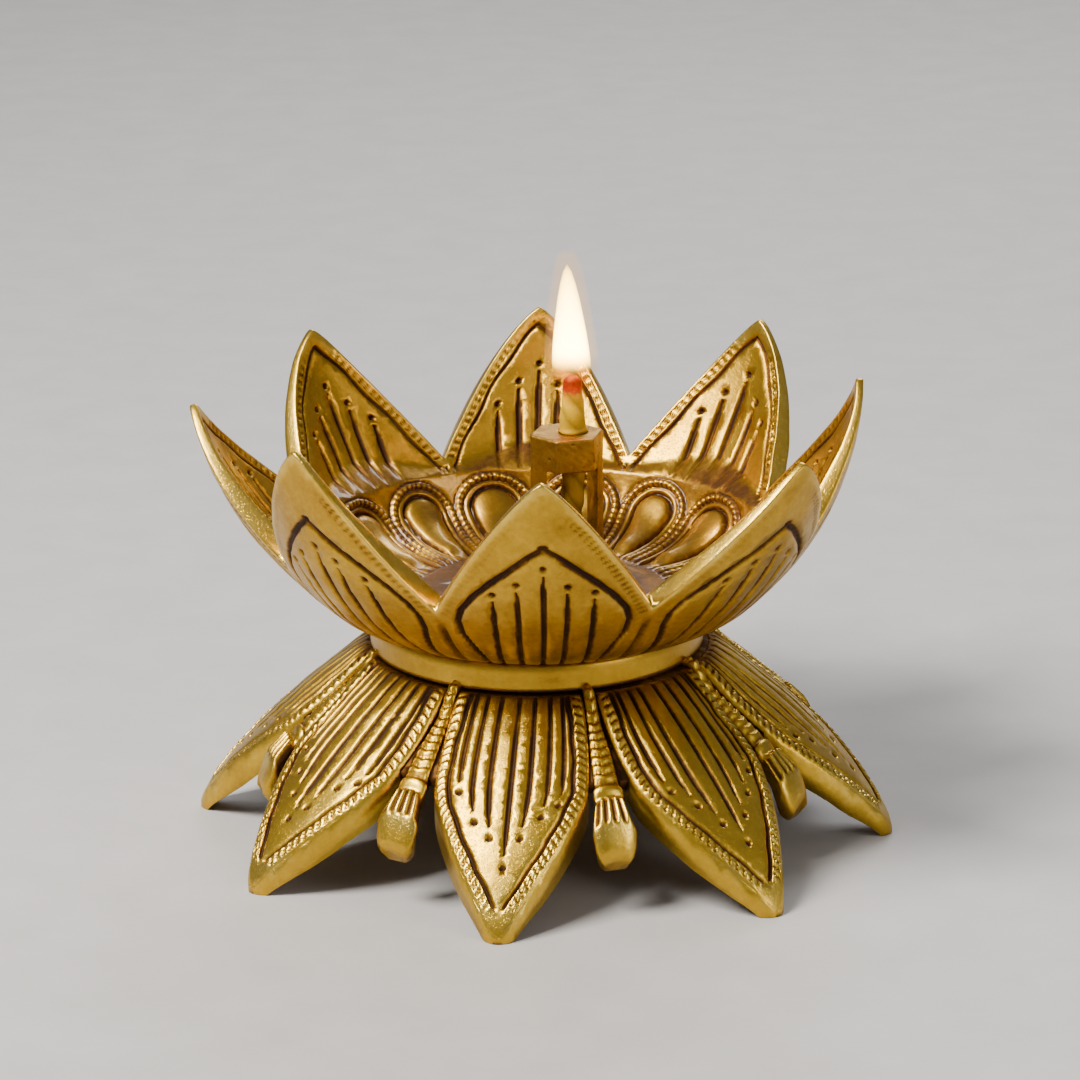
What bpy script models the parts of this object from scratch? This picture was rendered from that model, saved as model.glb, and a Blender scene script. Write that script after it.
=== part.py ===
"""Brass lotus diya: an oil lamp of two cast flowers, one hanging down as a stand and one opening up as a bowl.

The bowl turns on a spigot in the stand's hub and is held down by one screw from below. A hexagonal post
screws into the bowl's floor and grips a cotton wick. Metres, +Z up, the table at Z = 0, front towards -Y.
"""

import math

import bmesh
import bpy
from mathutils import Matrix, Vector

MM = 0.001
GAP = 0.3 * MM  # between pieces that touch
PETALS = 8
SECTOR = 2 * math.pi / PETALS

# Stand: a hub plate that runs out into eight drooping petals with a sepal between each two.
STAND_TURN = math.radians(-7.2)
HUB_TOP = 36.7 * MM
HUB_HOLE_R = 8.8 * MM
HUB_THICK = 5.5 * MM
SHOULDER_R = 34.5 * MM
STAND_TIP_R = 70.0 * MM
STAND_TIP_Z = 3.6 * MM
STAND_EDGE_THICK = 8.0 * MM  # measured straight down
STAND_ARC = [(SHOULDER_R, HUB_TOP), (43 * MM, 31.5 * MM), (60 * MM, 17 * MM), (STAND_TIP_R, STAND_TIP_Z)]
LEAF_ROOT_HALF_W = 12.0 * MM
LEAF_HALF_W = 14.3 * MM
LEAF_WIDEST_R = 50.0 * MM
LEAF_TAPER = 1.74  # exponent of the outline from its widest place to the tip
LEAF_CROWN = 2.0 * MM
NOTCH_R = 40.0 * MM
SEPAL_TIP_R = 57.5 * MM
SEPAL_TIP_HALF_W = 2.2 * MM
SEPAL_DROP = 2.5 * MM
SEPAL_THICK = 5.0 * MM
SEPAL_EDGE = [(0.15, 46 * MM), (0.3, 52 * MM), (0.8, 56 * MM)]  # degrees past the notch, radius
SEPAL_LEAN = [-2.0, 0, 0, 0, 0, 0, 0, 0]  # degrees, the one to the right of the front petal first
# How far each tip was bent when it was dressed by hand: sideways and outwards, from the front one round.
STAND_TIP_BEND = [(-0.2, -2.1), (1.0, 0.6), (-3.3, 0.0), (0, 0), (0, -1.9), (0, 0), (2.0, -0.8), (-2.3, -0.8)]

# Foot ring between the flowers
RING_R = 32.7 * MM
RING_X = -0.8 * MM  # it was clamped a little off the centre
RING_BORE_R = 28.0 * MM
RING_Z0 = HUB_TOP + GAP
RING_Z1 = 42.8 * MM

# Bowl: a floor that sweeps up into eight pointed petals.
BOWL_TURN = math.radians(0.7)
BOWL_UNDER_Z = RING_Z1 + GAP
BOWL_THICK = 3.8 * MM
TIP_THIN = 0.4  # share of that thickness left at a petal's tip
FLOOR_TOP = BOWL_UNDER_Z + BOWL_THICK
FLOOR_R = 33.0 * MM
BOWL_TIP_R = 66.0 * MM
BOWL_TIP_Z = 88.0 * MM
BOWL_ARC = [(FLOOR_R, BOWL_UNDER_Z), (50.5 * MM, 42 * MM), (61.4 * MM, 64 * MM), (BOWL_TIP_R, BOWL_TIP_Z)]
VALLEY_T = 0.56  # where along the arc the rim dips between two petals
VALLEY_PINCH = 0.075  # share of the radius by which the valleys are drawn in
PETAL_OGIVE = 1.28
# How far each bowl petal's tip leans from the regular one: sideways, outwards and up, from the front one round.
BOWL_TIP_BEND = [(-0.5, 0, 0.1), (0.7, 1.8, -2.2), (0.5, -2.8, 0.9), (0.1, 0.2, 1.0),
                 (-1.2, -0.1, -0.5), (-0.3, -0.2, 0.2), (0.8, 1.6, -2.3), (0.3, -0.8, 1.1)]
SPIGOT_R = HUB_HOLE_R - GAP
SPIGOT_Z = HUB_TOP - HUB_THICK + 0.7 * MM

# Screw and washers that hold the bowl down
SCREW_R = 3.0 * MM
THREAD_GAP = 0.3 * MM
SCREW_DEPTH = 6.5 * MM
HEAD_R = 5.8 * MM
HEAD_H = 4.0 * MM
PLAIN_WASHER_R = 12.5 * MM
PLAIN_WASHER_T = 1.4 * MM
SPRING_WASHER_R = 5.5 * MM
SPRING_WASHER_T = 1.5 * MM
SPRING_WASHER_ARC = math.radians(340)

# Wick holder: a hexagonal post, screwed into the floor off the flower's centre
POST_X = 5.4 * MM
POST_TURN = math.radians(15)
POST_CORNER_R = 7.45 * MM
POST_TOP = 79.5 * MM
POST_FOOT = FLOOR_TOP + 1.6 * MM
POST_FOOT_H = 4.0 * MM
POST_HEAD_H = 6.6 * MM
SLOT_W = 10.2 * MM
SHANK_DEPTH = 5.6 * MM
SEAL_R = 8.0 * MM

# Wick
WICK_R = 2.3 * MM
WICK_X = 1.2 * MM  # the bore in the post's head is drilled off its centre
WICK_BORE_R = 2.7 * MM
WICK_TOP = 90.7 * MM
# From the tip down through the post, out of the back of its slot and round on to the floor, in mm: along the
# slot, across it, and height. The last stretch lies on the floor.
WICK_ROUTE = [(0, 0, 90.7), (0, 0, 84), (0, 0, 77), (0, 0, 71), (0.5, 0, 66.5), (2.3, 0, 62.2),
              (5.0, 0.1, 58.4), (7.8, 0.5, 55.0), (10.4, 1.4, 52.2), (12.6, 3.3, 50.4), (13.9, 5.8, 49.7)]


def clear_scene():
    for thing in list(bpy.data.objects):
        bpy.data.objects.remove(thing, do_unlink=True)


def new_collection(name):
    group = bpy.data.collections.new(name)
    bpy.context.scene.collection.children.link(group)
    return group


def material(name, colour, metallic, roughness):
    made = bpy.data.materials.new(name)
    made.use_nodes = True
    shader = made.node_tree.nodes["Principled BSDF"]
    shader.inputs["Base Color"].default_value = (*colour, 1)
    shader.inputs["Metallic"].default_value = metallic
    shader.inputs["Roughness"].default_value = roughness
    return made


def part(name, bm, look, group, smooth_angle=40):
    """An object from a bmesh, with its faces pointing out."""
    mesh = bpy.data.meshes.new(name)
    bmesh.ops.recalc_face_normals(bm, faces=bm.faces)
    bm.to_mesh(mesh)
    bm.free()
    mesh.shade_smooth()
    mesh.set_sharp_from_angle(angle=math.radians(smooth_angle))
    mesh.materials.append(look)
    made = bpy.data.objects.new(name, mesh)
    group.objects.link(made)
    return made


def cutter(name, bm, group):
    made = part(name, bm, bpy.data.materials["cutter"], group)
    made.hide_render = True
    made.display_type = "WIRE"
    return made


def boolean(target, tool, operation="DIFFERENCE"):
    step = target.modifiers.new(tool.name, "BOOLEAN")
    step.operation = operation
    step.object = tool


def bezier(points, t):
    """A point of the cubic curve with these four control points."""
    weights = ((1 - t) ** 3, 3 * t * (1 - t) ** 2, 3 * t * t * (1 - t), t ** 3)
    return tuple(sum(w * p[axis] for w, p in zip(weights, points)) for axis in (0, 1))


def height_at(points, radius):
    """Height of an outward-running curve at a radius, by bisection."""
    low, high = 0.0, 1.0
    for _ in range(30):
        middle = (low + high) / 2
        if bezier(points, middle)[0] < radius:
            low = middle
        else:
            high = middle
    return bezier(points, low)[1]


def smooth_step(x):
    x = min(max(x, 0.0), 1.0)
    return x * x * (3 - 2 * x)


def on_circle(radius, azimuth, z):
    """A point by its azimuth, counted from the front (-Y) towards +X."""
    return Vector((radius * math.sin(azimuth), -radius * math.cos(azimuth), z))


def ring_sheet(rings, columns, place):
    """A sheet of quads around the Z axis. place(ring, column) gives each vertex, which keeps its column in a layer."""
    bm = bmesh.new()
    bmesh.ops.create_grid(bm, x_segments=columns, y_segments=rings - 1, size=1)
    column_of = bm.verts.layers.int.new("column")
    for v in bm.verts:
        v[column_of] = round((v.co.x + 1) / 2 * columns) % columns
        ring = round((v.co.y + 1) / 2 * (rings - 1))
        v.co = place(ring, v[column_of])
    bmesh.ops.remove_doubles(bm, verts=bm.verts, dist=1e-6)
    return bm


def cylinder(radius, z0, z1, segments=32, x=0.0, top_radius=None):
    bm = bmesh.new()
    bmesh.ops.create_cone(bm, cap_ends=True, segments=segments, radius1=radius,
                          radius2=radius if top_radius is None else top_radius, depth=z1 - z0,
                          matrix=Matrix.Translation((x, 0, (z0 + z1) / 2)))
    return bm


def turned(name, profile, steps, look, group):
    """A ring from a closed outline of (radius, z) corners, which runs down its outer side."""
    mesh = bpy.data.meshes.new(name)
    corners = [(r, 0, z) for r, z in profile]
    mesh.from_pydata(corners, [(i, (i + 1) % len(corners)) for i in range(len(corners))], [])
    mesh.materials.append(look)
    made = bpy.data.objects.new(name, mesh)
    group.objects.link(made)
    spin = made.modifiers.new("turn", "SCREW")
    spin.steps = spin.render_steps = steps
    spin.use_merge_vertices = True
    spin.merge_threshold = 1e-5
    return made


def washer(name, bore, radius, z0, z1, look, group, steps=40):
    return turned(name, [(radius, z1), (radius, z0), (bore, z0), (bore, z1)], steps, look, group)


def leaf_half_width(radius):
    """Half the width of a drooping petal at a radius."""
    if radius < LEAF_WIDEST_R:
        grown = (radius - SHOULDER_R) / (LEAF_WIDEST_R - SHOULDER_R)
        return LEAF_ROOT_HALF_W + (LEAF_HALF_W - LEAF_ROOT_HALF_W) * math.sin(math.pi / 2 * grown)
    return LEAF_HALF_W * (1 - ((radius - LEAF_WIDEST_R) / (STAND_TIP_R - LEAF_WIDEST_R)) ** LEAF_TAPER)


def stand_outline():
    """(angle from the petal's middle, rim radius, drop below the petal's ridge) for half a sector."""
    columns = []
    notch_angle = leaf_half_width(NOTCH_R) / NOTCH_R
    for radius in (70, 68.5, 65, 60.5, 55, 49.5, 44.5):
        angle = leaf_half_width(radius * MM) / (radius * MM)
        columns.append((angle, radius * MM, LEAF_CROWN * (angle / notch_angle) ** 2))
    columns.append((notch_angle, NOTCH_R, SEPAL_DROP))
    for past_notch, radius in SEPAL_EDGE:
        columns.append((notch_angle + math.radians(past_notch), radius, SEPAL_DROP))
    columns.append((SECTOR / 2 - SEPAL_TIP_HALF_W / SEPAL_TIP_R, SEPAL_TIP_R - 0.4 * MM, SEPAL_DROP))
    columns.append((SECTOR / 2, SEPAL_TIP_R, SEPAL_DROP))
    return columns


def on_sepal(angle):
    """Whether this angle from the nearest petal's middle lies on a sepal."""
    return abs(angle) > leaf_half_width(NOTCH_R) / NOTCH_R + math.radians(0.05)


def build_stand(look, group, tools):
    half = stand_outline()
    sector = [(-a, r, d) for a, r, d in reversed(half[1:])] + half[:-1]
    rings = [HUB_HOLE_R, 24 * MM, SHOULDER_R]
    shares = (0.16, 0.34, 0.54, 0.74, 0.88, 1.0)
    count = len(sector)

    def place(ring, column):
        petal, index = divmod(column, count)
        angle, rim, drop = sector[index]
        reach = 0.0 if ring < len(rings) else shares[ring - len(rings)]
        radius = rings[ring] if ring < len(rings) else SHOULDER_R + (rim - SHOULDER_R) * reach
        z = HUB_TOP if radius <= SHOULDER_R else height_at(STAND_ARC, radius)
        z -= drop * smooth_step((radius - SHOULDER_R) / (10 * MM))
        out = max(radius - SHOULDER_R, 0.0) / (STAND_TIP_R - SHOULDER_R)
        azimuth = STAND_TURN + petal * SECTOR + angle
        if on_sepal(angle):
            azimuth += math.radians(SEPAL_LEAN[petal if angle > 0 else petal - 1]) * out
        else:
            sideways, outwards = (bend * MM for bend in STAND_TIP_BEND[petal])
            azimuth += sideways / STAND_TIP_R * out * out
            radius += outwards * out * out
        return on_circle(radius, azimuth, z)

    bm = ring_sheet(len(rings) + len(shares), count * PETALS, place)
    column_of = bm.verts.layers.int["column"]
    grown = bmesh.ops.extrude_face_region(bm, geom=bm.faces[:])
    for v in grown["geom"]:
        if isinstance(v, bmesh.types.BMVert):
            angle = sector[v[column_of] % count][0]
            edge = SEPAL_THICK if on_sepal(angle) else STAND_EDGE_THICK
            slope = smooth_step((v.co.xy.length - 0.8 * SHOULDER_R) / (14 * MM))
            v.co.z -= HUB_THICK + (edge - HUB_THICK) * slope
    stand = part("lotus_base", bm, look, group)
    bm = bmesh.new()
    bmesh.ops.create_cube(bm, size=0.2, matrix=Matrix.Translation((0, 0, -0.1)))
    boolean(stand, cutter("table_plane", bm, tools))
    return stand


def bowl_point(azimuth_share, t, petal):
    """A point of the bowl's outer face: azimuth_share runs -1 to 1 across a petal, t along the arc."""
    r, z = bezier(BOWL_ARC, t)
    rise = smooth_step(t / VALLEY_T)
    pinch = VALLEY_PINCH * rise * (1 - math.cos(math.pi * azimuth_share)) / 2
    sideways, outwards, up = (bend * MM for bend in BOWL_TIP_BEND[petal])
    lean = max(0.0, (t - 0.35) / 0.65) ** 1.5
    r = r * (1 - pinch) + outwards * lean
    azimuth = BOWL_TURN + petal * SECTOR + azimuth_share * SECTOR / 2 + sideways * lean / BOWL_TIP_R
    return on_circle(r, azimuth, z + up * lean)


def build_bowl(look, group, tools):
    across = 10  # columns in a petal
    steps = (0.0, 0.1, 0.22, 0.36, 0.5, 0.64, 0.76, 0.86, 0.94, 1.0)

    def place(ring, column):
        petal, index = divmod(column, across)
        share = 2 * index / across - 1
        if ring == 0:
            return on_circle(20 * MM, BOWL_TURN + petal * SECTOR + share * SECTOR / 2, BOWL_UNDER_Z)
        rim = VALLEY_T + (1 - VALLEY_T) * (1 - abs(share) ** PETAL_OGIVE)
        return bowl_point(share, rim * steps[ring - 1], petal)

    bm = ring_sheet(len(steps) + 1, across * PETALS, place)
    inner = [e for e in bm.edges if e.is_boundary and (e.verts[0].co.xy.length < 21 * MM)]
    bmesh.ops.contextual_create(bm, geom=inner)
    bowl = part("lotus_bowl", bm, look, group)
    bowl.data.flip_normals()
    thinned = bowl.vertex_groups.new(name="thickness")
    for v in bowl.data.vertices:
        rise = smooth_step((v.co.z - 62 * MM) / (BOWL_TIP_Z - 62 * MM))
        thinned.add([v.index], 1 - (1 - TIP_THIN) * rise, "REPLACE")
    shell = bowl.modifiers.new("casting", "SOLIDIFY")
    shell.thickness = BOWL_THICK
    shell.offset = 1.0
    shell.vertex_group = thinned.name
    boolean(bowl, cutter("spigot", cylinder(SPIGOT_R, SPIGOT_Z, BOWL_UNDER_Z + 1 * MM), tools), "UNION")
    boolean(bowl, cutter("screw_hole", cylinder(SCREW_R + THREAD_GAP, SPIGOT_Z - 1 * MM,
                                                SPIGOT_Z + SCREW_DEPTH + 1 * MM, 24), tools))
    boolean(bowl, cutter("post_hole", cylinder(SCREW_R + THREAD_GAP, FLOOR_TOP - SHANK_DEPTH - GAP,
                                               FLOOR_TOP + 1 * MM, 24, POST_X), tools))
    return bowl


def build_ring(look, group):
    mid = (RING_Z0 + RING_Z1) / 2
    outline = [(RING_R - 0.9 * MM, RING_Z1), (RING_R - 0.1 * MM, RING_Z1 - 0.8 * MM), (RING_R, mid),
               (RING_R + 0.2 * MM, RING_Z0 + 0.9 * MM), (RING_R - 0.5 * MM, RING_Z0),
               (RING_BORE_R, RING_Z0), (RING_BORE_R, RING_Z1)]
    ring = turned("foot_ring", outline, 64, look, group)
    ring.location.x = RING_X
    return ring


def build_screw(brass, steel, group):
    """The hexagon-headed screw from below, its two washers, and their heights from the hub down."""
    z = HUB_TOP - HUB_THICK - GAP
    washer("plain_washer", SCREW_R + GAP, PLAIN_WASHER_R, z - PLAIN_WASHER_T, z, brass, group)
    z -= PLAIN_WASHER_T + GAP
    bm = bmesh.new()
    low, high = z - SPRING_WASHER_T, z - 0.25 * MM
    bore = SCREW_R + 0.5 * MM
    corners = [bm.verts.new((r, 0, h)) for r, h in
               ((bore, low), (SPRING_WASHER_R, low), (SPRING_WASHER_R, high), (bore, high))]
    face = bm.faces.new(corners)
    bmesh.ops.spin(bm, geom=[face, *face.edges, *face.verts], cent=(0, 0, 0), axis=(0, 0, 1),
                   dvec=(0, 0, 0.25 * MM / 34), angle=SPRING_WASHER_ARC, steps=34, use_duplicate=False)
    part("spring_washer", bm, steel, group)
    z -= SPRING_WASHER_T + GAP
    screw = part("base_screw", cylinder(HEAD_R, z - HEAD_H, z, 6, top_radius=HEAD_R), brass, group, 30)
    shank_top = SPIGOT_Z + SCREW_DEPTH
    tools = bpy.data.collections["cutters"]
    boolean(screw, cutter("screw_shank", cylinder(SCREW_R, z - 1 * MM, shank_top, 24), tools), "UNION")
    return screw


def build_holder(look, group, tools):
    """The post stands on its own axis; its slot runs front to back, turned by POST_TURN."""
    bm = cylinder(POST_CORNER_R, POST_FOOT, POST_TOP, 6)
    bmesh.ops.rotate(bm, verts=bm.verts, matrix=Matrix.Rotation(SECTOR * PETALS / 12, 3, "Z"))
    post = part("wick_holder", bm, look, group, 30)
    edges = post.modifiers.new("edges", "BEVEL")
    edges.width = 0.35 * MM
    edges.segments = 2
    edges.angle_limit = math.radians(40)
    shank = cutter("post_shank", cylinder(SCREW_R, FLOOR_TOP - SHANK_DEPTH, POST_FOOT + 1 * MM, 24), tools)
    boolean(post, shank, "UNION")
    slot_z0, slot_z1 = POST_FOOT + POST_FOOT_H, POST_TOP - POST_HEAD_H
    bm = bmesh.new()
    size = Matrix.Diagonal((SLOT_W, 20 * MM, slot_z1 - slot_z0, 1))
    bmesh.ops.create_cube(bm, size=1, matrix=Matrix.Translation((0, 0, (slot_z0 + slot_z1) / 2)) @ size)
    slot = cutter("slot", bm, tools)
    boolean(post, slot)
    offset = Matrix.Rotation(-POST_TURN, 3, "Z") @ Vector((WICK_X, 0, 0))
    bm = cylinder(WICK_BORE_R, slot_z1 - 1 * MM, POST_TOP + 1 * MM, 24)
    bmesh.ops.translate(bm, verts=bm.verts, vec=offset)
    bore = cutter("wick_bore", bm, tools)
    boolean(post, bore)
    for thing in (post, shank, slot, bore):
        thing.location.x = POST_X
        thing.rotation_euler.z = POST_TURN
    return post


def catmull_rom(points, per_span):
    """Points along a smooth curve through the given ones."""
    padded = [2 * points[0] - points[1], *points, 2 * points[-1] - points[-2]]
    line = []
    for a, b, c, d in zip(padded, padded[1:], padded[2:], padded[3:]):
        for step in range(per_span):
            t = step / per_span
            line.append(0.5 * (2 * b + (c - a) * t + (2 * a - 5 * b + 4 * c - d) * t * t
                               + (3 * b - a - 3 * c + d) * t ** 3))
    return [*line, points[-1]]


def build_wick(look, group):
    back = Vector((-math.sin(POST_TURN), math.cos(POST_TURN), 0))
    left = Vector((-math.cos(POST_TURN), -math.sin(POST_TURN), 0))
    foot = Vector((POST_X + WICK_X, 0, 0))
    route = [foot + back * a * MM + left * b * MM + Vector((0, 0, h * MM)) for a, b, h in WICK_ROUTE]
    line = catmull_rom(route, 3)
    curve = bpy.data.curves.new("wick", "CURVE")
    curve.dimensions = "3D"
    curve.bevel_depth = WICK_R
    curve.bevel_resolution = 2
    curve.use_fill_caps = True
    spline = curve.splines.new("POLY")
    spline.points.add(len(line) - 1)
    for point, at in zip(spline.points, line):
        point.co = (*at, 1)
    curve.materials.append(look)
    wick = bpy.data.objects.new("wick", curve)
    group.objects.link(wick)
    return wick


def main():
    clear_scene()
    parts = new_collection("brass_lotus_diya")
    tools = new_collection("cutters")
    brass = material("antique_brass", (0.58, 0.36, 0.09), 1.0, 0.34)
    turned_brass = material("turned_brass", (0.66, 0.42, 0.11), 1.0, 0.28)
    steel = material("zinc_steel", (0.6, 0.6, 0.58), 1.0, 0.35)
    fibre = material("seal_fibre", (0.24, 0.1, 0.05), 0.0, 0.8)
    cotton = material("oiled_cotton", (0.55, 0.38, 0.05), 0.0, 0.45)
    material("cutter", (1, 0, 0), 0.0, 1.0)
    build_stand(brass, parts, tools)
    build_ring(turned_brass, parts)
    build_bowl(brass, parts, tools)
    build_screw(turned_brass, steel, parts)
    seal = washer("seal_washer", SCREW_R + GAP, SEAL_R, FLOOR_TOP + GAP, POST_FOOT - GAP, fibre, parts)
    seal.location.x = POST_X
    build_holder(turned_brass, parts, tools)
    build_wick(cotton, parts)


main()
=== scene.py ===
"""Looks of the brass lotus diya: the two castings with their engraving, the post, the wick, and the finishes.

Lengths here are in millimetres until a mesh is made. An azimuth is counted from the front (-Y) towards +X.
"""

import math

import bmesh
import bpy
import numpy as np
from mathutils import Matrix, Vector


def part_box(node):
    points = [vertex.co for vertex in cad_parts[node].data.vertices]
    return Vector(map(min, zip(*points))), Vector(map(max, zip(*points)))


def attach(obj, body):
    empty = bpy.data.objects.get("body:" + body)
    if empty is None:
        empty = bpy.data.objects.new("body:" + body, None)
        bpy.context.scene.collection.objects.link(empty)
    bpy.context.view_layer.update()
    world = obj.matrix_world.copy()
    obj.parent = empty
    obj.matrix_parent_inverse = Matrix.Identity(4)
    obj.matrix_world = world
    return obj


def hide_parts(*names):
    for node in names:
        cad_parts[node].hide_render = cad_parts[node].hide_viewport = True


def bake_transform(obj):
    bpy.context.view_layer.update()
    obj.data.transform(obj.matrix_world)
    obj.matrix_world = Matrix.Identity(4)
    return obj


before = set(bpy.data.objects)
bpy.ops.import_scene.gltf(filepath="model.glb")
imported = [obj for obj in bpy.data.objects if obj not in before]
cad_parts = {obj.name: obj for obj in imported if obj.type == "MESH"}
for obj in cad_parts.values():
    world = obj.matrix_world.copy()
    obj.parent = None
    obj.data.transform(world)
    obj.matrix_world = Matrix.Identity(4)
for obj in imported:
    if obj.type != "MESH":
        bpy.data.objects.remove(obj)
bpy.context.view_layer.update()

MM = 0.001
PETALS = 8
SECTOR = 2 * math.pi / PETALS
MOST_TRIANGLES = 190000

# Stand. STAND_ARC runs along a petal's ridge from the shoulder to the tip, as (radius, height). The petals
# have their own outline here: a little wider than the CAD's, rounder and lower at the tip, with thinner walls.
STAND_TURN = math.radians(-7.2)
HUB_TOP = 36.7
HUB_HOLE_R = 8.8
HUB_THICK = 5.5
HUB_R = 33.0  # where the hub gives way to the petals and sepals
SHOULDER_R = 34.5
STAND_TIP_R = 70.0
STAND_ARC = [(34.5, 36.7), (43, 31.5), (60, 17), (70, 2.4)]
STAND_WALL = 6.6
STAND_TIP_BEND = [(-0.2, -2.1), (1.0, 0.6), (-3.3, 0.0), (0, 0),  # sideways, outwards
                  (0, -1.9), (0, 0), (2.0, -0.8), (-2.3, -0.8)]
LEAF_INNER_R = 30.5
LEAF_ROOT_HALF_W = 12.2
LEAF_HALF_W = 14.9
LEAF_WIDEST_R = 50.0
LEAF_TAPER = 1.44  # exponent of the outline from its widest place to the tip
LEAF_ROUND_R = 68.6  # where the rounding of the tip starts
LEAF_CROWN = 2.0
LEAF_CROWN_R = 40.0  # the crown is measured from ridge to edge at this radius
SEPAL_INNER_R = 31.0
SEPAL_TIP_R = 57.5
SEPAL_LEAN = [-2.0, 0, 0, 0, 0, 0, 0, 0]  # degrees

# Bowl. BOWL_ARC runs up the outside of a petal from the foot to the tip. Its underside is higher and slimmer
# than the CAD's, and the valleys between its petals are lower and less drawn in.
BOWL_TURN = math.radians(0.7)
BOWL_ARC = [(33, 43.1), (47.2, 46.6), (62.2, 62.6), (66, 88)]
BOWL_UNDER_Z = 43.1
BOWL_THICK = 3.8
BOWL_THIN_Z = 62  # the height from which a petal gets thinner
TIP_THIN = 0.4  # share of the thickness left at a petal's tip
FLOOR_TOP = 46.9
VALLEY_T = 0.53  # where along the arc the rim dips between two petals
VALLEY_PINCH = 0.035  # share of the radius by which the valleys are drawn in
PETAL_OGIVE = 1.28
BOWL_TIP_BEND = [(-0.5, 0, 0.1), (0.7, 1.8, -2.2), (0.5, -2.8, 0.9), (0.1, 0.2, 1.0),  # sideways, outwards, up
                 (-1.2, -0.1, -0.5), (-0.3, -0.2, 0.2), (0.8, 1.6, -2.3), (0.3, -0.8, 1.1)]
SPIGOT_R = 8.5
SPIGOT_Z = 31.9
SCREW_HOLE_R = 3.3
SCREW_DEPTH = 6.5
POST_HOLE_DEPTH = 5.9

# Post and wick
POST_X = 5.4
POST_TURN = math.radians(15)
BORE_CLEAR_R = 3.3  # the post is left smooth inside this radius, round its bore
WICK_R = 2.3
WICK_X = 1.2
WICK_ROUTE = [(0, 0, 90.7), (0, 0, 84), (0, 0, 77), (0, 0, 71), (0.5, 0, 66.5), (2.3, 0, 62.2),
              (5.0, 0.1, 58.4), (7.8, 0.5, 55.0), (10.4, 1.4, 52.2), (12.6, 3.3, 50.4), (13.9, 5.8, 49.7)]
STRANDS = 3
STRAND_TWIST = 0.42  # radians a mm along the wick
STRAND_GROOVE = 0.10  # share of the radius
BURN_FADE = 8.8  # the burn fades out over this length below the tip
FLAME_OUTLINE = [(1.0, 86.6), (2.2, 87.6), (3.1, 89.2), (3.7, 91.1), (3.8, 93.5), (3.55, 96.5), (3.2, 99.5),
                 (2.75, 102.5), (2.1, 106.4), (1.5, 109.2), (0.85, 111.5), (0.05, 113)]
FLAME_FOOT_Z = 86.6
FLAME_COLOUR_RUN = 25.8  # its colours change over this height

# Engraving
CUT_HALF_W = 0.62
CUT_DEPTH = 0.9
INNER_CUT_HALF_W = 0.8
DARKNESS = 1.3  # how far a groove's dark patina reaches up its sides
DOT_R = 0.78
DOT_GAP = 1.4  # from the middle of a dot to the end of its groove
TICK_PITCH = 1.7
OUTER_TICK_PITCH = 1.4
OUTER_LINES = 4.8, (25.0, 22.0, 18.5, 22.0, 24.6)  # spacing, and each dot's distance below the tip
INNER_LINES = 4.5, (20.3, 15.8, 11.4, 15.8, 20.3)
OUTER_ARCH = [(13.4, 0), (15, 2.4), (17.5, 5.2), (21, 9.0), (25.5, 13.0), (30, 15.6), (33.5, 16.2),
              (38, 15.4), (43, 13.4), (49, 11.4), (56, 10.0)]  # distance below the tip, half width
OUTER_ARCH_SLOPE = [(13, 1.45), (22, 1.35), (30, 0.75), (34, 0.3), (44, 0.4)]
# A groove's place across a drooping petal, as a share of its half width, and the radius where it ends
LEAF_LINES = [(-0.65, 50.2), (-0.46, 53.4), (-0.27, 56.4), (0.0, 59.8),
              (0.26, 56.6), (0.48, 53.8), (0.67, 50.6)]
ARCH_TOP = (46.0, 58.6)  # radius and height of the ring of arches inside the bowl
ARCH_RISE = 8.3
ARCHES = 16
BEAD_PITCH = 1.45


# ---------------------------------------------------------------- numbers

def smooth(x):
    x = np.clip(x, 0, 1)
    return x * x * (3 - 2 * x)


def rise(x, start, run):
    """0 up to start, 1 from start + run on, smooth between."""
    return smooth((x - start) / run)


def fall(x, end, run):
    """1 up to end - run, 0 from end on, smooth between."""
    return smooth((end - x) / run)


def cut(distance, half_width):
    """1 on the middle of a round-bottomed groove, 0 outside it."""
    return np.clip(1 - (distance / half_width) ** 2, 0, 1) ** 0.8


def rib(distance, half_width):
    """1 on the middle of a half-round rib, 0 beside it."""
    return np.sqrt(np.clip(1 - (distance / half_width) ** 2, 0, 1))


def ticks_along(along, pitch, half_width):
    """Short cuts across a border, one every pitch."""
    return cut((along / pitch % 1 - 0.5) * pitch, half_width)


def beads_along(along):
    """1 on the middle of each bead of a row, 0 between two."""
    return np.abs(np.cos(math.pi * along / BEAD_PITCH)) ** 0.7


def patina(*marks):
    """How dark the deepest of some marks makes the metal, from 0 to 1."""
    return np.clip(DARKNESS * np.maximum.reduce(marks), 0, 1)


def look_up(x, table):
    return np.interp(x, *zip(*table))


def bezier(points, t):
    """Radius and height along the cubic curve with these four control points."""
    weights = ((1 - t) ** 3, 3 * t * (1 - t) ** 2, 3 * t * t * (1 - t), t ** 3)
    return tuple(sum(w * p[axis] for w, p in zip(weights, points)) for axis in (0, 1))


def length_along(points, t):
    fine = np.linspace(0, 1, 2001)
    r, z = bezier(points, fine)
    run = np.concatenate([[0], np.cumsum(np.hypot(np.diff(r), np.diff(z)))])
    return np.interp(t, fine, run)


def lumps(points, wavelength, seed):
    """Smooth unevenness between about -1 and 1, as a sum of waves in fixed directions."""
    waves = 7
    rng = np.random.default_rng(seed)
    total = np.zeros(len(points))
    for _ in range(waves):
        direction = rng.normal(size=3)
        direction /= np.linalg.norm(direction) * wavelength * rng.uniform(0.6, 1.5)
        total += np.sin(points @ direction * 2 * math.pi + rng.uniform(0, 6.3))
    return total / waves * 1.6


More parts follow.
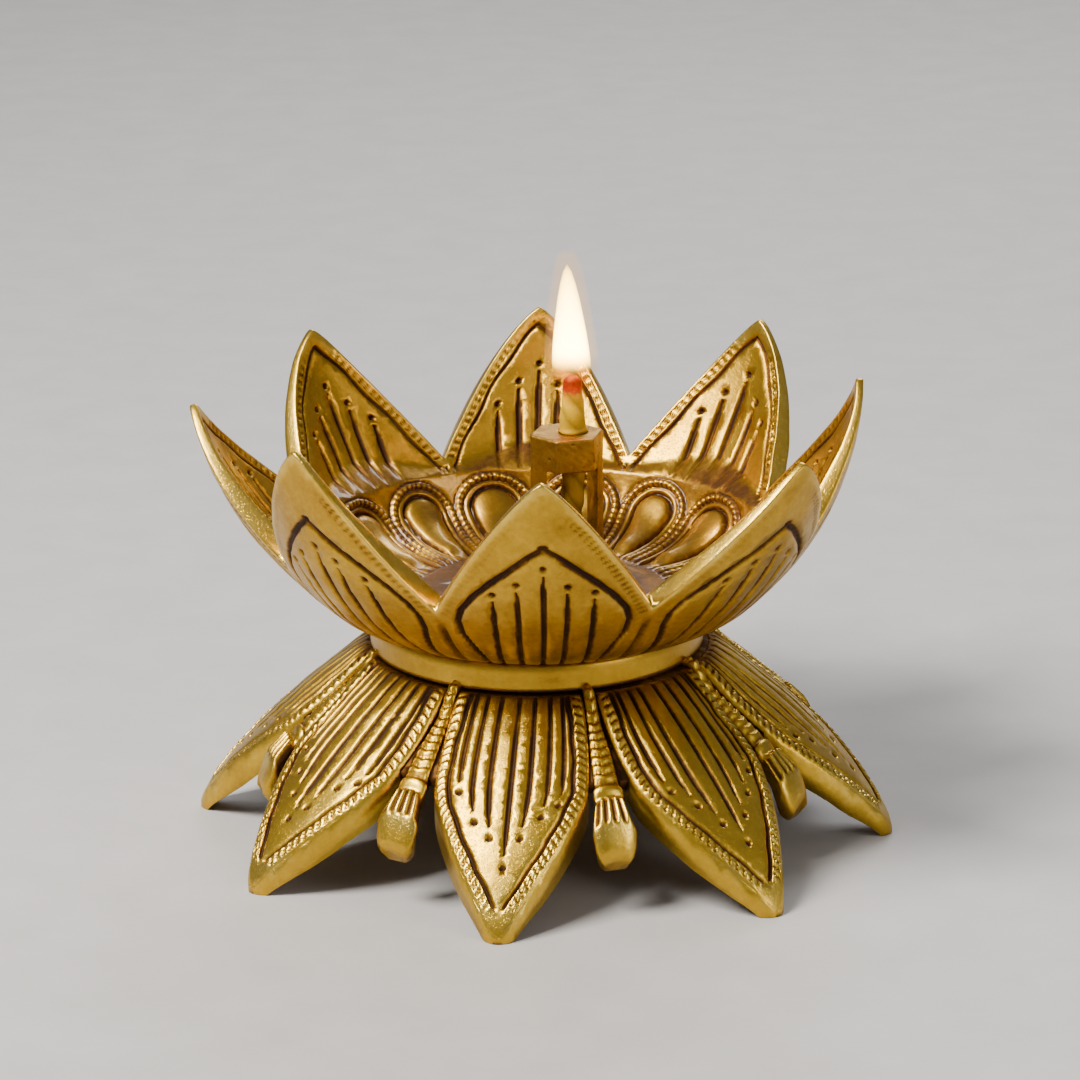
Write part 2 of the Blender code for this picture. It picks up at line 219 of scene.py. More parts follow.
def casting_marks(points, seed, coarse, fine):
    """Unevenness in mm, from a coarse and a fine pair of wavelength and height."""
    return lumps(points, coarse[0], seed) * coarse[1] + lumps(points, fine[0], seed + 1) * fine[1]


def nearest(u, s, line):
    """Distance from each point to a polyline's corners, and how far along it the nearest one is."""
    at_once = 4000
    run = np.concatenate([[0], np.cumsum(np.hypot(*np.diff(line, axis=0).T))])
    points = np.column_stack([u.ravel(), s.ravel()])
    distance, at = np.empty(len(points)), np.empty(len(points))
    for low in range(0, len(points), at_once):
        part = points[low:low + at_once]
        gap = np.hypot(part[:, None, 0] - line[None, :, 0], part[:, None, 1] - line[None, :, 1])
        closest = gap.argmin(axis=1)
        distance[low:low + at_once] = gap[np.arange(len(part)), closest]
        at[low:low + at_once] = run[closest]
    return distance.reshape(u.shape), at.reshape(u.shape)


def on_circle(r, azimuth, z):
    return np.stack(np.broadcast_arrays(r * np.sin(azimuth), -r * np.cos(azimuth), z), axis=-1)


def ring_normals(grid):
    """Unit normals of a grid of points (rows, columns, 3) whose rows are closed rings."""
    along = np.gradient(grid, axis=0)
    across = (np.roll(grid, -1, axis=1) - np.roll(grid, 1, axis=1)) / 2
    normal = np.cross(across, along)
    return normal / np.maximum(np.linalg.norm(normal, axis=-1, keepdims=True), 1e-9)


def away_from_axis(normal, grid):
    return normal * np.sign((normal * grid)[..., :2].sum(axis=-1).mean())


# ---------------------------------------------------------------- meshes

def new_object(name, data):
    made = bpy.data.objects.new(name, data)
    bpy.context.scene.collection.objects.link(made)
    return made


def add_layer(mesh, name, values):
    layer = mesh.attributes.new(name, "FLOAT", "POINT")
    layer.data.foreach_set("value", np.ravel(values).astype(np.float32))


def read_vertices(mesh, what):
    values = np.empty(len(mesh.vertices) * 3)
    mesh.vertices.foreach_get(what, values)
    return values.reshape(-1, 3)


def mesh_object(name, points, faces, **layers):
    """An object from points in mm. Each layer is a value a point, such as tone: how bright its metal is."""
    mesh = bpy.data.meshes.new(name)
    mesh.from_pydata((np.asarray(points) * MM).tolist(), [], faces)
    for layer, values in layers.items():
        add_layer(mesh, layer, values)
    mesh.update()
    bm = bmesh.new()
    bm.from_mesh(mesh)
    bmesh.ops.recalc_face_normals(bm, faces=bm.faces)
    bm.to_mesh(mesh)
    bm.free()
    mesh.shade_smooth()
    return new_object(name, mesh)


def loops_mesh(name, loops, **layers):
    """A closed solid from loops of points (rows, columns, 3), with a flat cap at each end."""
    rows, columns, _ = loops.shape
    index = np.arange(rows * columns).reshape(rows, columns)
    after = np.roll(index, -1, axis=1)
    quads = np.stack([index[:-1], after[:-1], after[1:], index[1:]], axis=-1).reshape(-1, 4)
    faces = quads.tolist() + [index[0, ::-1].tolist(), index[-1].tolist()]
    return mesh_object(name, loops.reshape(-1, 3), faces, **layers)


def apply_modifiers(made):
    bpy.context.view_layer.update()
    graph = bpy.context.evaluated_depsgraph_get()
    mesh = bpy.data.meshes.new_from_object(
        made.evaluated_get(graph), preserve_all_data_layers=True, depsgraph=graph)
    made.modifiers.clear()
    made.data = mesh


def join_solids(name, solids):
    """One object that holds the meshes of several that don't touch each other."""
    bm = bmesh.new()
    for solid in solids:
        bm.from_mesh(solid.data)
        bpy.data.objects.remove(solid)
    mesh = bpy.data.meshes.new(name)
    bm.to_mesh(mesh)
    bm.free()
    return new_object(name, mesh)


def boolean(target, tool, operation):
    step = target.modifiers.new("boolean", "BOOLEAN")
    step.solver = "MANIFOLD"
    step.operation = operation
    step.object = tool
    apply_modifiers(target)
    bpy.data.objects.remove(tool)


def thin_out(made):
    """Fewer triangles where the surface is plain."""
    triangles = sum(len(face.vertices) - 2 for face in made.data.polygons)
    if triangles > MOST_TRIANGLES:
        step = made.modifiers.new("decimate", "DECIMATE")
        step.ratio = MOST_TRIANGLES / triangles
        apply_modifiers(made)
    made.data.shade_smooth()


def lathe(name, profile, steps, tone, centre=(0, 0)):
    """A closed ring from a closed outline of (radius, z) corners."""
    angle = np.linspace(0, 2 * math.pi, steps, endpoint=False)
    r, z = np.array(profile, float).T
    grid = on_circle(r[None, :], angle[:, None], z[None, :]) + np.array([*centre, 0])
    rows, columns = grid.shape[:2]
    index = np.arange(rows * columns).reshape(rows, columns)
    after = np.roll(index, -1, 1)
    faces = np.stack([index, after, np.roll(after, -1, 0), np.roll(index, -1, 0)], -1).reshape(-1, 4)
    return mesh_object(name, grid.reshape(-1, 3), faces.tolist(), tone=np.full(rows * columns, tone))


def cylinder(name, x, radius, z0, z1):
    steps = 48
    angle = np.linspace(0, 2 * math.pi, steps, endpoint=False)
    loops = np.stack([on_circle(radius, angle, z) + np.array([x, 0, 0]) for z in (z0, z1)])
    return loops_mesh(name, loops, tone=np.full(loops.shape[:2], 0.4), wet=np.zeros(loops.shape[:2]))


# ---------------------------------------------------------------- bowl

def rim_t(share):
    """Where along the arc the rim is, at a share of -1 to 1 of the way across a petal."""
    return VALLEY_T + (1 - VALLEY_T) * (1 - np.abs(share) ** PETAL_OGIVE)


def pinch(share, t):
    return VALLEY_PINCH * smooth(t / VALLEY_T) * (1 - np.cos(math.pi * share)) / 2


def bowl_point(share, t, petal):
    r, z = bezier(BOWL_ARC, t)
    sideways, outwards, up = (np.array(BOWL_TIP_BEND)[petal, axis] for axis in range(3))
    lean = np.maximum(0, (t - 0.35) / 0.65) ** 1.5 * (1 - np.abs(share) ** 6)
    azimuth = BOWL_TURN + petal * SECTOR + share * SECTOR / 2 + sideways * lean / BOWL_ARC[3][0]
    return on_circle(r * (1 - pinch(share, t)) + outwards * lean, azimuth, z + up * lean)


def petal_face(share, t):
    """Unrolled place on a bowl petal: across, below the tip, distance from the rim and place along it."""
    r, _ = bezier(BOWL_ARC, t)
    u = share * SECTOR / 2 * r * (1 - pinch(share, t))
    w = length_along(BOWL_ARC, t)
    edge = np.linspace(-1, 1, 361)
    edge_t = rim_t(edge)
    edge_r, _ = bezier(BOWL_ARC, edge_t)
    edge_u = edge * SECTOR / 2 * edge_r * (1 - pinch(edge, edge_t))
    rim = np.column_stack([edge_u, length_along(BOWL_ARC, edge_t)])
    distance, along = nearest(u, w, rim)
    return u, length_along(BOWL_ARC, 1.0) - w, distance, along, r


def lines_and_dots(u, below, r, lines, half_width, seed):
    """Depth of five grooves down a bowl petal, each under its drilled dot."""
    spacing, starts = lines
    rng = np.random.default_rng(seed)
    deep = np.zeros_like(u)
    for k, start in zip(range(-2, 3), starts):
        middle = k * spacing * np.sqrt(r / 60) + rng.uniform(-0.35, 0.35)
        top = start + rng.uniform(-0.6, 0.6)
        width = half_width * (0.4 + 0.6 * rise(below - top, DOT_GAP, 5))
        deep = np.maximum(deep, cut(u - middle, width) * rise(below - top, DOT_GAP, 0.5))
        deep = np.maximum(deep, cut(np.hypot(u - middle, below - top), DOT_R))
    return deep


def outer_relief(share, t, petal):
    """Height and tone outside a bowl petal: grooves under an engraved arch, and a worn rope."""
    u, below, rim, along, r = petal_face(share, t)
    marks = lines_and_dots(u, below, r, OUTER_LINES, CUT_HALF_W, 20 + petal)
    slope = look_up(below, OUTER_ARCH_SLOPE)
    arch = cut((np.abs(u) - look_up(below, OUTER_ARCH)) / np.hypot(1, slope), 0.66) * rise(below, 12.2, 0.8)
    ticks = ticks_along(along, OUTER_TICK_PITCH, 0.35) * rise(rim, 0.6, 0.4) * fall(rim, 3.0, 0.8)
    ticks = ticks * (0.35 + 0.65 * rise(u, 0, 6)) * rise(below, 5, 5)
    crease = cut(1 - np.abs(share), 0.05) * fall(t, 0.5, 0.1) * rise(t, 0.05, 0.1)
    deep = np.maximum(marks * CUT_DEPTH, arch * 0.8)
    height = -np.maximum(deep, crease * 0.8) - 0.16 * ticks
    dark = patina(marks, arch, 0.5 * crease, 0.4 * ticks)
    rubbed = fall(rim, 1.6, 1.2)
    return height, 0.52 - 0.5 * dark + 0.25 * rubbed * (1 - dark)


def inner_relief(share, t, petal):
    """Height and tone inside a bowl petal: grooves, a border line and a rope along the rim."""
    u, below, rim, along, r = petal_face(share, t)
    marks = lines_and_dots(u, below, r, INNER_LINES, INNER_CUT_HALF_W, 40 + petal)
    marks = marks * rise(rim, 2.9, 0.4)
    border = cut(rim - 2.75 - 0.25 * np.sin(along * 0.45 + petal), 0.46)
    ticks = ticks_along(along, TICK_PITCH, 0.42)
    ticks = ticks * rise(rim, 0.45, 0.25) * fall(rim, 2.1, 0.25) * rise(below, 4, 4)
    height = -np.maximum(marks * CUT_DEPTH, border * 0.6) - 0.42 * ticks
    dark = patina(marks, 0.75 * border, 0.6 * ticks)
    return height, 0.5 - 0.48 * dark + 0.2 * fall(rim, 2.2, 1.0) * (1 - dark)


def arcade_relief(azimuth, p, length, r):
    """The ring of beaded arches at the foot of the bowl's inside. p is the way up from the floor."""
    place = (azimuth - BOWL_TURN) / (2 * math.pi) * ARCHES + 0.05 * np.sin(5 * azimuth)
    across = (place % 1) * 2 - 1
    spring = length - 0.3 - ARCH_RISE
    up = np.maximum(p - spring, 0) / ARCH_RISE
    inside = (1 - np.hypot(across, up)) * r * math.tan(math.pi / ARCHES)
    path = np.minimum(p, spring) + ARCH_RISE * np.arctan2(up, np.abs(across) + 1e-6)
    legs = rise(p, 1.0, 2.5)
    worn = 0.72 + 0.28 * np.sin(4 * azimuth + 0.5 * p) * np.sin(11 * azimuth + 2)
    bead = beads_along(path) * worn
    band = rib(inside - 0.95, 0.85)
    ring = rib(inside - 2.75, 0.75)
    lobe = np.clip((inside - 3.7) / 3.9, 0, 1)
    dome = np.sqrt(1 - (1 - lobe) ** 2) * rise(p, 4, 4)
    trench = cut(inside - 3.6, 0.5)
    seam = np.maximum(cut(inside, 0.28), cut(inside - 1.9, 0.25))
    height = legs * (0.9 * band * (0.45 + 0.55 * bead) + 0.35 * ring + 1.7 * dome
                     - 0.7 * trench - 0.35 * seam)
    dark = np.clip(np.maximum.reduce([trench, seam, band * (1 - bead) * 1.2]), 0, 1) * legs
    tone = 0.37 - 0.33 * dark + 0.32 * band * bead * legs + 0.05 * dome - 0.22 * (1 - legs)
    return height, tone


def engrave(relief, share, t, petal):
    """Height and tone of a relief over all petals, one petal after another."""
    height, tone = np.empty_like(t), np.empty_like(t)
    for k in range(PETALS):
        here = petal == k
        height[:, here], tone[:, here] = relief(share[:, here], t[:, here], k)
    return height, tone


def build_bowl():
    """The bowl as one stack of rings: spigot, outside, rim, inside, ledge, arcade and floor."""
    across, outer_rows, inner_rows, ledge_rows, arch_rows = 116, 130, 130, 12, 68
    column = np.arange(across * PETALS)
    petal = column // across
    share = 2 * (column % across) / across - 1
    azimuth = BOWL_TURN + petal * SECTOR + share * SECTOR / 2

    t = np.linspace(0, 1, outer_rows)[:, None] * rim_t(share)[None, :]
    share_grid, petal_grid = np.broadcast_to(share, t.shape), np.broadcast_to(petal, t.shape)
    outer = bowl_point(share_grid, t, petal_grid)
    outward = away_from_axis(ring_normals(outer), outer)
    height, outer_tone = engrave(outer_relief, share_grid, t, petal)
    height = height * smooth(np.linspace(0, 1, outer_rows) * 12)[:, None]
    outer = outer + outward * height[..., None]

    ledge_t = 0.50 + 0.07 * (1 + np.cos(math.pi * share)) / 2
    ledge_t = np.minimum(ledge_t, rim_t(share) - 0.045)
    t_in = ledge_t + (rim_t(share) - ledge_t) * np.linspace(1, 0, inner_rows)[:, None]
    share_in, petal_in = np.broadcast_to(share, t_in.shape), np.broadcast_to(petal, t_in.shape)
    skin = bowl_point(share_in, t_in, petal_in)
    skin_normal = away_from_axis(ring_normals(skin), skin)
    thinner = (1 - TIP_THIN) * rise(skin[..., 2], BOWL_THIN_Z, BOWL_ARC[3][1] - BOWL_THIN_Z)
    inner = skin - skin_normal * (BOWL_THICK * (1 - thinner))[..., None]
    inner_height, inner_tone = engrave(inner_relief, share_in, t_in, petal)
    inner = inner - skin_normal * inner_height[..., None]

    arch_arc = [(24, FLOOR_TOP), (38, FLOOR_TOP - 0.4), (43.5, 50.5), ARCH_TOP]
    s = np.linspace(1, 0, arch_rows)
    arch_r, arch_z = bezier(arch_arc, s)
    run = length_along(arch_arc, s)
    arcade = on_circle(arch_r[:, None], azimuth[None, :], arch_z[:, None])
    arch_height, arch_tone = arcade_relief(azimuth[None, :], run[:, None], run[0], arch_r[:, None])
    inwards = ring_normals(arcade)
    inwards *= np.sign(inwards[..., 2].mean())
    arcade = arcade + inwards * arch_height[..., None]

    k = smooth(np.linspace(0, 1, ledge_rows + 2)[1:-1])[:, None, None]
    ledge = inner[-1] * (1 - k) + arcade[0] * k
    # The ledge under the petals and above the arches is painted dark, varying round the bowl: painted shade.
    ledge_painted_shade = 0.24 + 0.12 * np.sin(3 * azimuth) ** 2 * np.ones_like(k[..., 0])

    upwards = outer[-1] - outer[-4]
    upwards /= np.linalg.norm(upwards, axis=-1, keepdims=True)
    over_rim = np.array([0.04, 0.12, 0.3, 0.5, 0.7, 0.88, 0.96])[:, None, None]
    bulge = np.array([0.16, 0.3, 0.36, 0.38, 0.36, 0.3, 0.16])[:, None, None]
    rim = outer[-1] * (1 - over_rim) + inner[0] * over_rim + upwards * bulge
    rim_tone = np.full(rim.shape[:2], 0.72)

    under = [on_circle(r, azimuth, z)[None] for r, z in
             ((SPIGOT_R, SPIGOT_Z), (SPIGOT_R, BOWL_UNDER_Z), (20, BOWL_UNDER_Z))]
    floor = [on_circle(r, azimuth, FLOOR_TOP)[None] for r in (18, 9)]
    loops = np.concatenate([*under, outer, rim, inner, ledge, arcade, *floor])
    under_tone = np.full((len(under), len(azimuth)), 0.4)
    floor_tone = np.full((len(floor), len(azimuth)), 0.2)
    tones = np.concatenate([under_tone, outer_tone, rim_tone, inner_tone, ledge_painted_shade, arch_tone, floor_tone])
    wet = np.zeros(tones.shape)
    wet[-len(floor) - arch_rows - ledge_rows:] = 0.4

    flat = loops.reshape(-1, 3)
    wobble = casting_marks(flat, 3, (9, 0.10), (3.6, 0.03))
    wobble *= rise(flat[:, 2], 44, 3)
    direction = flat * np.array([1, 1, 0])
    direction /= np.maximum(np.linalg.norm(direction, axis=1, keepdims=True), 1)
    loops = (flat + direction * wobble[:, None]).reshape(loops.shape)
    bowl = loops_mesh("lotus_bowl_casting", loops, tone=tones, wet=wet)
    screw_hole = cylinder("screw_hole", 0, SCREW_HOLE_R, SPIGOT_Z - 1, SPIGOT_Z + SCREW_DEPTH)
    boolean(bowl, screw_hole, "DIFFERENCE")
    post_hole = cylinder("post_hole", POST_X, SCREW_HOLE_R, FLOOR_TOP - POST_HOLE_DEPTH, FLOOR_TOP + 1)
    boolean(bowl, post_hole, "DIFFERENCE")
    thin_out(bowl)
    return bowl


# ---------------------------------------------------------------- stand

def leaf_half_width(r):
    grown = np.clip((r - SHOULDER_R) / (LEAF_WIDEST_R - SHOULDER_R), 0, 1)
    root = LEAF_ROOT_HALF_W + (LEAF_HALF_W - LEAF_ROOT_HALF_W) * np.sin(math.pi / 2 * grown)
    # The sides would meet past the tip, so that its rounding starts in line with them
    sides_meet_r = 2 * STAND_TIP_R - LEAF_ROUND_R
    past = np.clip((np.minimum(r, LEAF_ROUND_R) - LEAF_WIDEST_R) / (sides_meet_r - LEAF_WIDEST_R), 0, 1)
    round_tip = np.sqrt(np.clip((STAND_TIP_R - r) / (STAND_TIP_R - LEAF_ROUND_R), 0, 1))
    return np.where(r < LEAF_WIDEST_R, root, LEAF_HALF_W * (1 - past ** LEAF_TAPER) * round_tip)


def stand_height(r):
    arc_r, arc_z = bezier(STAND_ARC, np.linspace(0, 1, 801))
    return np.where(r <= SHOULDER_R, HUB_TOP, np.interp(r, arc_r, arc_z))


def stand_run(r):
    """Length along a petal's ridge from the shoulder out to a radius."""
    t = np.linspace(0, 1, 801)
    arc_r, _ = bezier(STAND_ARC, t)
    return np.where(r <= SHOULDER_R, r - SHOULDER_R, np.interp(r, arc_r, length_along(STAND_ARC, t)))


def web_height(r):
    """The plain casting that joins the roots of the petals."""
    return stand_height(r) - 3.1 * rise(r, HUB_R, 5.5)


def sepal_height(r):
    return stand_height(r) - 3.3 * rise(r, HUB_R, 6)


def outness(r):
    """0 at the shoulder, 1 at a petal's tip."""
    return np.maximum(r - SHOULDER_R, 0) / (STAND_TIP_R - SHOULDER_R)


def leaf_relief(q, r, k):
    """Height and tone of the engraving on a drooping petal, at share q of its half width."""
    half = leaf_half_width(r)
    u, s = q * half, stand_run(r)
    edge_r = np.concatenate([np.linspace(30, 69, 160), np.linspace(69.05, STAND_TIP_R, 24)])
    side = np.column_stack([leaf_half_width(edge_r), stand_run(edge_r)])
    outline = np.concatenate([side * (-1, 1), side[::-1]])
    rim, along = nearest(u, s, outline)
    rng = np.random.default_rng(60 + k)
    deep = np.zeros_like(u)
    for share, end in LEAF_LINES:
        share = share + rng.uniform(-0.02, 0.02)
        end = end + rng.uniform(-0.8, 0.8)
        gap = (q - share) * np.maximum(half, 6)
        width = CUT_HALF_W * (0.35 + 0.65 * fall(r, end, 4)) * (0.75 + 0.25 * rise(r, 36, 8))
        deep = np.maximum(deep, cut(gap, width) * fall(r, end, 0.6))
        dot = np.hypot(gap, (stand_run(np.array(end + DOT_GAP)) - s))
        deep = np.maximum(deep, cut(dot, DOT_R))
    border = cut(rim - 2.9 - 0.12 * np.sin(along * 0.8 + k), 0.58) * fall(r, 67.6, 1.2)
    slant = along + np.where(q < 0, 0.55, -0.55) * rim
    ticks = ticks_along(slant, TICK_PITCH, 0.36)
    ticks = ticks * rise(rim, 0.45, 0.3) * fall(rim, 2.3, 0.3) * fall(r, 68.0, 1.2)
    rope = rib(rim - 1.4, 1.1) * fall(r, 68.4, 1.5)
    off_hub = rise(r, HUB_R, 3)
    height = off_hub * (-np.maximum(deep * CUT_DEPTH, border * 0.9) - 0.5 * ticks + 0.45 * rope)
    height = height - 0.5 * fall(rim, 0.5, 0.5)
    dark = patina(deep, border, 0.6 * ticks) * off_hub
    tone = 0.6 - 0.58 * dark + 0.15 * rope * (1 - dark) + 0.1 * rise(r, 60, 8) * (1 - dark)
    # Darker towards the hub, where the bowl hangs over the petal roots: painted shade.
    tone = tone - 0.25 * fall(r, 39, 5)
    return height, tone


def build_leaf(k):
    """One drooping petal as a solid: its engraved top, two side walls and a plain underside."""
    q = np.linspace(-1, 1, 104)
    r = np.concatenate([np.linspace(LEAF_INNER_R, 69, 168), np.linspace(69.1, STAND_TIP_R - 0.03, 10)])
    grid_q, grid_r = np.meshgrid(q, r)
    half = np.maximum(leaf_half_width(grid_r), 0.25)
    height, tone = leaf_relief(grid_q, grid_r, k)
    angle = grid_q * half / grid_r
    crown_angle = float(leaf_half_width(np.array(LEAF_CROWN_R))) / LEAF_CROWN_R
    drop = LEAF_CROWN * (angle / crown_angle) ** 2 * rise(grid_r, SHOULDER_R, 10)
    blunt = 0.9 * np.clip((r - 68) / 2, 0, 1) ** 2
    z_top = stand_height(grid_r) - drop + height - blunt[:, None]
    edge_angle = leaf_half_width(r) / r
    z_edge = stand_height(r) - LEAF_CROWN * (edge_angle / crown_angle) ** 2 * rise(r, SHOULDER_R, 10)
    z_edge = z_edge - blunt
    wall = STAND_WALL - 1.4 * fall(r, 40, 6) - 1.8 * rise(r, 60, 9)
    z_low = np.maximum(z_edge - wall, 0.04)

    out = outness(grid_r)
    sideways, outwards = STAND_TIP_BEND[k]
    middle = STAND_TURN + k * SECTOR
    azimuth = middle + angle + sideways / STAND_TIP_R * out ** 2
    radius = grid_r + outwards * out ** 2
    top = on_circle(radius, azimuth, z_top)
    wall_shares = (0.12, 0.5, 0.95)

    def side_wall(column, shares):
        heights = [np.stack([0 * r, 0 * r, z_edge + (z_low - z_edge) * share], 1) for share in shares]
        return np.stack([top[:, column] * (1, 1, 0) + height for height in heights], 1)

    inset = np.linspace(0.94, -0.94, 9)
    low_azimuth = middle + inset[None, :] * angle[:, -1:] + sideways / STAND_TIP_R * out[:, :1] ** 2
    low = on_circle(radius[:, :1], low_azimuth, np.broadcast_to(z_low[:, None], low_azimuth.shape))
    loops = np.concatenate([top, side_wall(-1, wall_shares), low, side_wall(0, wall_shares[::-1])], axis=1)
    wall_tone = np.full((len(r), len(wall_shares)), 0.55)
    tones = np.concatenate([tone, wall_tone, np.full((len(r), len(inset)), 0.3), wall_tone], axis=1)
    return loops_mesh(f"leaf_{k}", loops, tone=tones)


def build_sepal(k):
    """The beaded strip between two petals, its collar and the fluted bud at its end."""
    q = np.linspace(-1, 1, 34)
    r = np.linspace(SEPAL_INNER_R, SEPAL_TIP_R, 96)
    grid_q, grid_r = np.meshgrid(q, r)
    half = look_up(r, [(SEPAL_INNER_R, 0.9), (36, 1.25), (45, 2.2), (48.6, 2.4), (49, 2.9), (50, 2.9),
                       (50.6, 2.7), (53, 3.5), (55.4, 4.3), (56.6, 4.0), (57.2, 3.4), (SEPAL_TIP_R, 2.6)])
    strip = fall(grid_r, 48.6, 0.6)
    bead = strip * beads_along(grid_r + 0.8 * np.abs(grid_q))
    collar = rib(grid_r - 49.5, 0.8)
    bud = rise(grid_r, 50.4, 1.5)
    flutes = bud * fall(grid_r, 55.6, 1.0) * cut((grid_q * 2.3 + 0.35) % 1 - 0.5, 0.34)
    crown = np.sqrt(np.clip(1 - np.abs(grid_q) ** (2 + 1.6 * bud) * 0.96, 0, 1))
    end = np.clip((grid_r - 54.8) / 2.7, 0, 1) ** 1.3
    height = crown * (0.9 + 0.75 * bead * strip + 0.8 * collar + 1.7 * bud) - 0.85 * flutes - 3.4 * end
    z_top = sepal_height(grid_r) + 0.3 + height
    middle = STAND_TURN + (k + 0.5) * SECTOR + math.radians(SEPAL_LEAN[k]) * outness(grid_r)
    top = on_circle(grid_r, middle + grid_q * half[:, None] / grid_r, z_top)

    inset = np.linspace(0.72, -0.72, 7)
    thick = look_up(r, [(SEPAL_INNER_R, 3.2), (48, 3.2), (52, 3.7), (55.5, 5.5), (SEPAL_TIP_R, 4.7)])
    z_low = sepal_height(r) - thick
    low_r = r - look_up(r, [(SEPAL_INNER_R, 0), (52, 0), (SEPAL_TIP_R, 1.6)])
    low = on_circle(low_r[:, None], middle[:, :1] + inset[None, :] * half[:, None] / r[:, None],
                    np.broadcast_to(z_low[:, None], (len(r), len(inset))))
    loops = np.concatenate([top, low], axis=1)
    tone = 0.62 - 0.6 * flutes - 0.3 * strip * (1 - bead) - 0.3 * cut(grid_r - 48.5, 0.4)
    # Darker along the edges, in the gaps against the petals, and on the end of the bud that turns down: painted
    # shade.
    tone = tone - 0.35 * fall(crown, 0.3, 0.3) + 0.15 * bud * (1 - flutes) - 0.2 * end
    tones = np.concatenate([tone, np.full((len(r), len(inset)), 0.4)], axis=1)
    return loops_mesh(f"sepal_{k}", loops, tone=tones)


def build_stand():
    """The hub with its web, and the petals and sepals joined on to it."""
    out = np.linspace(HUB_R, 47.5, 30)
    back = np.linspace(46.6, HUB_R, 14)
    hub_under = HUB_TOP - HUB_THICK
    profile = [(HUB_HOLE_R, HUB_TOP), (20, HUB_TOP), (32.4, HUB_TOP), *zip(out, web_height(out)),
               *zip(back, web_height(back) - 2.8), (30, hub_under), (20, hub_under), (HUB_HOLE_R, hub_under)]
    # The hub and web get the dark tone 0.14: painted shade under the bowl and in the gaps between the petal
    # roots.
    stand = lathe("lotus_base_casting", profile, 320, 0.14)
    for name, solids in (("even", [build_leaf(k) for k in range(0, PETALS, 2)]),
                         ("odd", [build_leaf(k) for k in range(1, PETALS, 2)]),
                         ("sepals", [build_sepal(k) for k in range(PETALS)])):
        boolean(stand, join_solids(name, solids), "UNION")
    points = read_vertices(stand.data, "co") / MM
    wobble = casting_marks(points, 11, (8, 0.12), (3.4, 0.03)) * rise(points[:, 2], 1, 3)
    wobble *= rise(np.hypot(points[:, 0], points[:, 1]), HUB_R, 3)
    points[:, 2] = np.maximum(points[:, 2] + wobble, 0)
    stand.data.vertices.foreach_set("co", (points * MM).ravel())
    thin_out(stand)
    return stand


# ---------------------------------------------------------------- small pieces

def build_ring():
    """The turned band, with its outer corners worn round."""
    low, high = (corner.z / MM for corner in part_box("foot_ring"))
    left, right = (corner.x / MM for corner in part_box("foot_ring"))
    radius = (right - left) / 2 - 0.2
    inner_r, bevel = 28, 0.4
    outer = [(-0.8, high), (-0.35, high - 0.2), (-0.05, high - 0.7), (0, high - 2), (0.05, high - 3.4),
             (0.18, low + 1.2), (0.1, low + 0.5), (-0.2, low + 0.12), (-0.6, low)]
    inner = [(inner_r + 0.3, low), (inner_r, low + bevel), (inner_r, high - bevel), (inner_r + 0.3, high)]
    profile = [(radius + more, z) for more, z in outer] + inner
    return lathe("foot_ring_turned", profile, 256, 0.5, ((left + right) / 2, 0))


def build_holder():
    """The hexagonal post: sawn slot, drilled bore, edges worn round, and the pits of an old casting."""
    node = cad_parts["wick_holder"]
    made = node.copy()
    made.data = node.data.copy()
    made.name = "wick_holder_post"
    for key in [key for key in made.keys() if key.startswith("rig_")]:
        del made[key]
    made.parent = None
    made.matrix_world = Matrix.Identity(4)
    bpy.context.scene.collection.objects.link(made)
    step = made.modifiers.new("remesh", "REMESH")
    step.mode = "VOXEL"
    step.voxel_size = 0.24 * MM
    apply_modifiers(made)
    relax = made.modifiers.new("relax", "SMOOTH")
    relax.factor = 0.5
    relax.iterations = 3
    apply_modifiers(made)
    points, normal = read_vertices(made.data, "co") / MM, read_vertices(made.data, "normal")
    pits = np.clip(lumps(points, 1.6, 21) + lumps(points, 0.9, 22) - 1.15, 0, 1)
    shift = casting_marks(points, 23, (5, 0.08), (1.8, 0.04)) - 0.22 * pits
    local = points - (POST_X, 0, 0)
    off_bore = np.clip((np.hypot(local[:, 0], local[:, 1]) - BORE_CLEAR_R) / 1.0, 0, 1)
    away = off_bore * rise(points[:, 2], 49, 2)
    made.data.vertices.foreach_set("co", ((points + normal * (shift * away)[:, None]) * MM).ravel())
    add_layer(made.data, "tone", np.clip(0.45 - 0.5 * pits + 0.08 * lumps(points, 4, 25), 0, 1))
    made.data.materials.clear()
    made.data.shade_smooth()
    return made


def smooth_route(corners, steps):
    """A smooth line through all corners, in so many steps from each to the next."""
    padded = np.vstack([2 * corners[0] - corners[1], corners, 2 * corners[-1] - corners[-2]])
    line = []
    for a, b, c, d in zip(padded, padded[1:], padded[2:], padded[3:]):
        for t in np.linspace(0, 1, steps, endpoint=False):
            line.append(0.5 * (2 * b + (c - a) * t + (2 * a - 5 * b + 4 * c - d) * t * t
                               + (3 * b - a - 3 * c + d) * t ** 3))
    return np.array([*line, corners[-1]])


